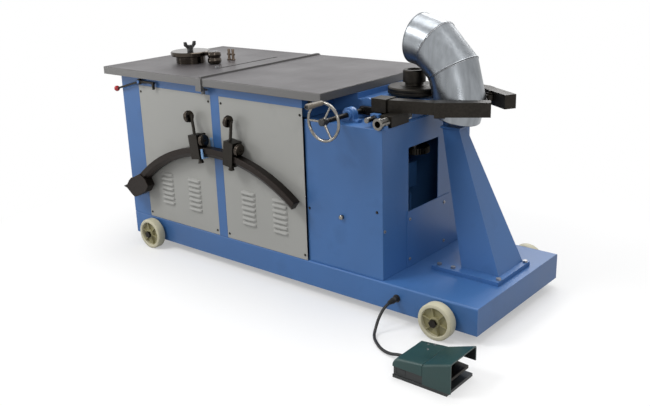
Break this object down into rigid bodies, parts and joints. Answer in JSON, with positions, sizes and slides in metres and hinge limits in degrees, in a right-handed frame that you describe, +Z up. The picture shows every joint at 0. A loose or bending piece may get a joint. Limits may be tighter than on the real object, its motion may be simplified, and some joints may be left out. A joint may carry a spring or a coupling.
{
  "type": "elbow making machine",
  "caption": "Blue floor-standing machine that rolls and closes gored sheet metal duct elbows, with long tables, a handwheel, angled arms, an elbow in place and a foot switch.",
  "frame": {"origin": "on the floor, below the centre of the machine without its foot switch", "axes": "+X along the machine towards the elbow station, -Y towards the user, +Z up"},
  "size_m": [2.195, 1.153, 1.1751],
  "materials": {
    "blue_paint": "satin",
    "grey_paint": "satin",
    "table_steel": "satin",
    "black_oxide": "satin",
    "steel": "satin",
    "chrome": "polished",
    "galvanised": "satin",
    "cream_plastic": "matte",
    "black_plastic": "matte",
    "teal_paint": "satin",
    "red_plastic": "gloss",
    "light_blue": "satin",
    "brown_steel": "satin",
    "black_rubber": "matte",
    "grey_iron": "matte"
  },
  "bodies": {
    "frame": {"arc_guide": "black_oxide", "base_frame": "blue_paint", "cabinet_frame": "blue_paint", "cabinet_panels": "grey_paint", "cable_gland": "black_plastic", "column": "blue_paint", "column_foot": "blue_paint", "column_head": "blue_paint", "deck_box": "blue_paint", "drive_housing": "blue_paint", "foot_bolts": "steel", "front_panel_left": "grey_paint", "front_panel_right": "grey_paint", "gearbox": "grey_iron", "guide_clamp": "brown_steel", "guide_hook": "light_blue", "guide_rods": "chrome", "housing_cover": "blue_paint", "left_table": "table_steel", "motor": "grey_paint", "pedal_base": "teal_paint", "pedal_cord": "black_rubber", "pedal_hood": "teal_paint", "right_table": "table_steel", "screw_blocks": "blue_paint", "table_strip": "table_steel", "wheel_axles": "steel"},
    "wheel_front_left": {"wheel_front_left": "cream_plastic"},
    "wheel_front_right": {"wheel_front_right": "cream_plastic"},
    "wheel_back_left": {"wheel_back_left": "cream_plastic"},
    "wheel_back_right": {"wheel_back_right": "cream_plastic"},
    "handwheel": {"handwheel": "chrome", "lead_screw": "steel"},
    "crank_grip": {"crank_grip": "black_plastic"},
    "front_carriage": {"front_carriage": "black_oxide", "front_arm": "black_oxide"},
    "back_carriage": {"back_carriage": "black_oxide", "back_arm": "black_oxide"},
    "front_guide_roller": {"front_guide_roller": "black_oxide"},
    "back_guide_roller": {"back_guide_roller": "black_oxide"},
    "closing_roll": {"closing_roll": "black_oxide", "closing_spindle": "steel", "spindle_gear": "steel"},
    "pinion": {"pinion": "brown_steel"},
    "inner_roll": {"inner_roll": "black_oxide"},
    "elbow": {"elbow": "galvanised"},
    "forming_disc": {"forming_disc": "black_oxide", "star_knob": "black_plastic"},
    "forming_roller": {"forming_roller": "brown_steel"},
    "roller_slide": {"roller_slide": "steel"},
    "control_lever": {"control_lever": "red_plastic"},
    "left_carrier": {"left_carrier": "black_oxide"},
    "right_carrier": {"right_carrier": "black_oxide"},
    "left_top_roller": {"left_top_roller": "black_oxide"},
    "left_side_roller": {"left_side_roller": "black_oxide"},
    "right_top_roller": {"right_top_roller": "black_oxide"},
    "right_side_roller": {"right_side_roller": "black_oxide"},
    "treadle": {"treadle": "black_oxide"},
    "latch_knob": {"latch_knob": "chrome"},
    "slot_pin": {"slot_pin": "steel"}
  },
  "joints": [
    {"name": "front_left_wheel_turn", "type": "hinge", "parent": "frame", "child": "wheel_front_left", "pos_m": [-0.794, -0.33, 0.075], "axis": [0, 1, 0], "continuous": true},
    {"name": "back_left_wheel_turn", "type": "hinge", "parent": "frame", "child": "wheel_back_left", "pos_m": [-0.794, 0.413, 0.075], "axis": [0, 1, 0], "continuous": true},
    {"name": "front_right_wheel_turn", "type": "hinge", "parent": "frame", "child": "wheel_front_right", "pos_m": [0.887, -0.33, 0.075], "axis": [0, 1, 0], "continuous": true},
    {"name": "back_right_wheel_turn", "type": "hinge", "parent": "frame", "child": "wheel_back_right", "pos_m": [0.887, 0.413, 0.075], "axis": [0, 1, 0], "continuous": true},
    {"name": "handwheel_turn", "type": "hinge", "parent": "frame", "child": "handwheel", "pos_m": [0.404, -0.3885, 0.802], "axis": [0, 1, 0], "range_deg": [0, 1440]},
    {"name": "grip_turn", "type": "hinge", "parent": "handwheel", "child": "crank_grip", "pos_m": [0.404, -0.4435, 0.877], "axis": [0, 1, 0], "continuous": true},
    {"name": "front_carriage_travel", "type": "slide", "parent": "frame", "child": "front_carriage", "axis": [0, -1, 0], "range_m": [0, 0.02]},
    {"name": "back_carriage_travel", "type": "slide", "parent": "frame", "child": "back_carriage", "axis": [0, 1, 0], "range_m": [0, 0.02]},
    {"name": "front_guide_roller_turn", "type": "hinge", "parent": "front_carriage", "child": "front_guide_roller", "pos_m": [0.79706, -0.03746, 0.842], "axis": [0, 0, 1], "continuous": true},
    {"name": "back_guide_roller_turn", "type": "hinge", "parent": "back_carriage", "child": "back_guide_roller", "pos_m": [0.79706, 0.19446, 0.842], "axis": [0, 0, 1], "continuous": true},
    {"name": "closing_roll_turn", "type": "hinge", "parent": "frame", "child": "closing_roll", "pos_m": [0.494, 0.1015, 0.86], "axis": [0, 0, 1], "continuous": true},
    {"name": "pinion_turn", "type": "hinge", "parent": "frame", "child": "pinion", "pos_m": [0.3975, 0.1015, 0.603], "axis": [0, 0, 1], "continuous": true},
    {"name": "elbow_turn", "type": "hinge", "parent": "frame", "child": "elbow", "pos_m": [0.726, 0.0785, 0.842], "axis": [0, 0, 1], "continuous": true},
    {"name": "inner_roll_turn", "type": "hinge", "parent": "frame", "child": "inner_roll", "pos_m": [0.66679, 0.08437, 0.842], "axis": [0, 0, 1], "continuous": true},
    {"name": "forming_disc_turn", "type": "hinge", "parent": "frame", "child": "forming_disc", "pos_m": [-0.746, -0.0265, 0.94], "axis": [0, 0, 1], "continuous": true},
    {"name": "forming_roller_turn", "type": "hinge", "parent": "roller_slide", "child": "forming_roller", "pos_m": [-0.602, -0.0015, 0.927], "axis": [0, 0, 1], "continuous": true},
    {"name": "control_lever_turn", "type": "hinge", "parent": "frame", "child": "control_lever", "pos_m": [-0.799, -0.3125, 0.84], "axis": [0, 1, 0], "range_deg": [0, 12]},
    {"name": "roller_slide_travel", "type": "slide", "parent": "frame", "child": "roller_slide", "axis": [-1, 0, 0], "range_m": [0, 0.012]},
    {"name": "left_carrier_travel", "type": "hinge", "parent": "frame", "child": "left_carrier", "pos_m": [-0.283, -0.3385, -0.21], "axis": [0, -1, 0], "range_deg": [-0.4, 29]},
    {"name": "right_carrier_travel", "type": "hinge", "parent": "frame", "child": "right_carrier", "pos_m": [-0.283, -0.3385, -0.21], "axis": [0, -1, 0], "range_deg": [-24, 6]},
    {"name": "left_top_roller_turn", "type": "hinge", "parent": "left_carrier", "child": "left_top_roller", "pos_m": [-0.43604, -0.3385, 0.71707], "axis": [-0.9919, 0, -0.1271], "continuous": true},
    {"name": "left_side_roller_turn", "type": "hinge", "parent": "left_carrier", "child": "left_side_roller", "pos_m": [-0.34754, -0.3385, 0.6165], "axis": [-0.9919, 0, -0.1271], "continuous": true},
    {"name": "right_top_roller_turn", "type": "hinge", "parent": "right_carrier", "child": "right_top_roller", "pos_m": [-0.18109, -0.3385, 0.72407], "axis": [-0.9895, 0, 0.1444], "continuous": true},
    {"name": "right_side_roller_turn", "type": "hinge", "parent": "right_carrier", "child": "right_side_roller", "pos_m": [-0.1229, -0.3385, 0.60341], "axis": [-0.9895, 0, 0.1444], "continuous": true},
    {"name": "treadle_press", "type": "hinge", "parent": "frame", "child": "treadle", "pos_m": [1.055, -0.5785, 0.04], "axis": [0, 1, 0], "range_deg": [0, 12], "stiffness_Nm_per_rad": 2, "springref_deg": -25.78},
    {"name": "latch_turn", "type": "hinge", "parent": "frame", "child": "latch_knob", "pos_m": [0.404, -0.2985, 0.387], "axis": [0, 1, 0], "range_deg": [0, 90]},
    {"name": "slot_pin_travel", "type": "slide", "parent": "frame", "child": "slot_pin", "axis": [0, 1, 0], "range_m": [0, 0.4]}
  ],
  "couplings": [
    {"joint": "front_carriage_travel", "follows": "handwheel_turn", "m_per_rad": 0.0007957},
    {"joint": "back_carriage_travel", "follows": "handwheel_turn", "m_per_rad": 0.0007957},
    {"joint": "pinion_turn", "follows": "closing_roll_turn", "ratio": -2},
    {"joint": "elbow_turn", "follows": "closing_roll_turn", "ratio": -1},
    {"joint": "inner_roll_turn", "follows": "closing_roll_turn", "ratio": -2.3289},
    {"joint": "roller_slide_travel", "follows": "control_lever_turn", "m_per_rad": 0.057238}
  ]
}
